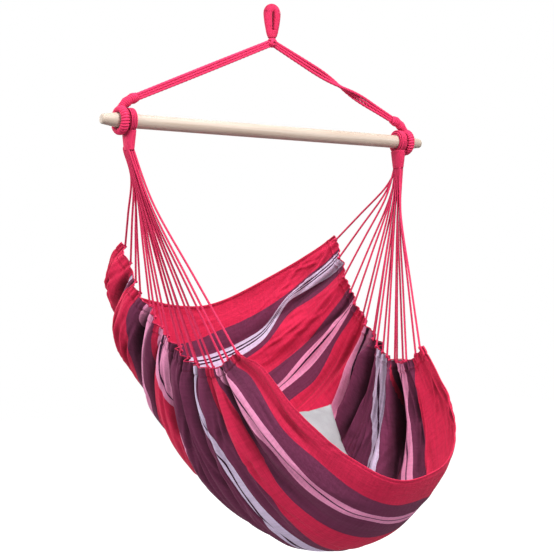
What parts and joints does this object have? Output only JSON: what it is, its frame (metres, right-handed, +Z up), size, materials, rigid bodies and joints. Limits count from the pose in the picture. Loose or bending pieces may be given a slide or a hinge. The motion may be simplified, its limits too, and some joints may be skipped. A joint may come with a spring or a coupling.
{
  "type": "hammock chair",
  "caption": "Hanging seat of striped woven cloth slung from a turned wooden spreader bar on fans of thin cords, with a wrapped rope loop above and a cushion in its hollow.",
  "frame": {"origin": "the point inside the top of the hanging loop that a hook bears on", "axes": "+Z up, +X along the spreader bar to the right as the chair is seen from its front, -Y the way the sitter faces"},
  "size_m": [1.11, 1.0702, 1.5586],
  "materials": {
    "rope": "twisted cotton cord, matte",
    "wrapping": "tight cotton whipping, matte",
    "striped_cloth": "heavy cotton weave with stripes in red, plum, pink and lilac",
    "pale_wood": "turned and lightly oiled",
    "cushion_cover": "plain cotton, seamed edge"
  },
  "bodies": {
    "loop": {"hanging_loop": "wrapping", "loop_neck": "wrapping"},
    "throat": {"throat_knot": "wrapping"},
    "bridle": {"left_bridle_strand_1": "rope", "left_bridle_strand_2": "rope", "left_bridle_strand_3": "rope", "right_bridle_strand_1": "rope", "right_bridle_strand_2": "rope", "right_bridle_strand_3": "rope", "left_bridle_throat": "wrapping", "right_bridle_throat": "wrapping", "left_bridle_eye": "wrapping", "right_bridle_eye": "wrapping"},
    "bar": {"spreader_bar": "pale_wood"},
    "seat": {"seat_cloth": "striped_cloth", "left_cord_eye": "rope", "right_cord_eye": "rope", "left_cord_neck": "wrapping", "right_cord_neck": "wrapping", "left_hem_cord": "rope", "right_hem_cord": "rope", "left_cord_01": "rope", "left_cord_02": "rope", "left_cord_03": "rope", "left_cord_04": "rope", "left_cord_05": "rope", "left_cord_06": "rope", "left_cord_07": "rope", "left_cord_08": "rope", "left_cord_09": "rope", "left_cord_10": "rope", "left_cord_11": "rope", "left_cord_12": "rope", "left_cord_13": "rope", "left_cord_14": "rope", "left_cord_15": "rope", "left_cord_16": "rope", "left_cord_17": "rope", "left_cord_18": "rope", "right_cord_01": "rope", "right_cord_02": "rope", "right_cord_03": "rope", "right_cord_04": "rope", "right_cord_05": "rope", "right_cord_06": "rope", "right_cord_07": "rope", "right_cord_08": "rope", "right_cord_09": "rope", "right_cord_10": "rope", "right_cord_11": "rope", "right_cord_12": "rope", "right_cord_13": "rope", "right_cord_14": "rope", "right_cord_15": "rope", "right_cord_16": "rope", "right_cord_17": "rope", "right_cord_18": "rope"},
    "cushion": {"seat_cushion": "cushion_cover"}
  },
  "joints": [
    {"name": "twist", "type": "hinge", "parent": "loop", "child": "throat", "pos_m": [0, 0, -0.0866], "axis": [0, 0, 1], "range_deg": [-90, 90]},
    {"name": "swing", "type": "hinge", "parent": "throat", "child": "bridle", "pos_m": [0, 0, -0.0866], "axis": [1, 0, 0], "range_deg": [-25, 25]},
    {"name": "bar_roll", "type": "hinge", "parent": "bridle", "child": "bar", "pos_m": [0, 0, -0.35], "axis": [1, 0, 0], "continuous": true},
    {"name": "seat_tilt", "type": "hinge", "parent": "bridle", "child": "seat", "pos_m": [0, 0, -0.35], "axis": [1, 0, 0], "range_deg": [-20, 20]},
    {"name": "cushion_lift", "type": "slide", "parent": "seat", "child": "cushion", "axis": [0, 0, 1], "range_m": [0, 0.35]}
  ]
}
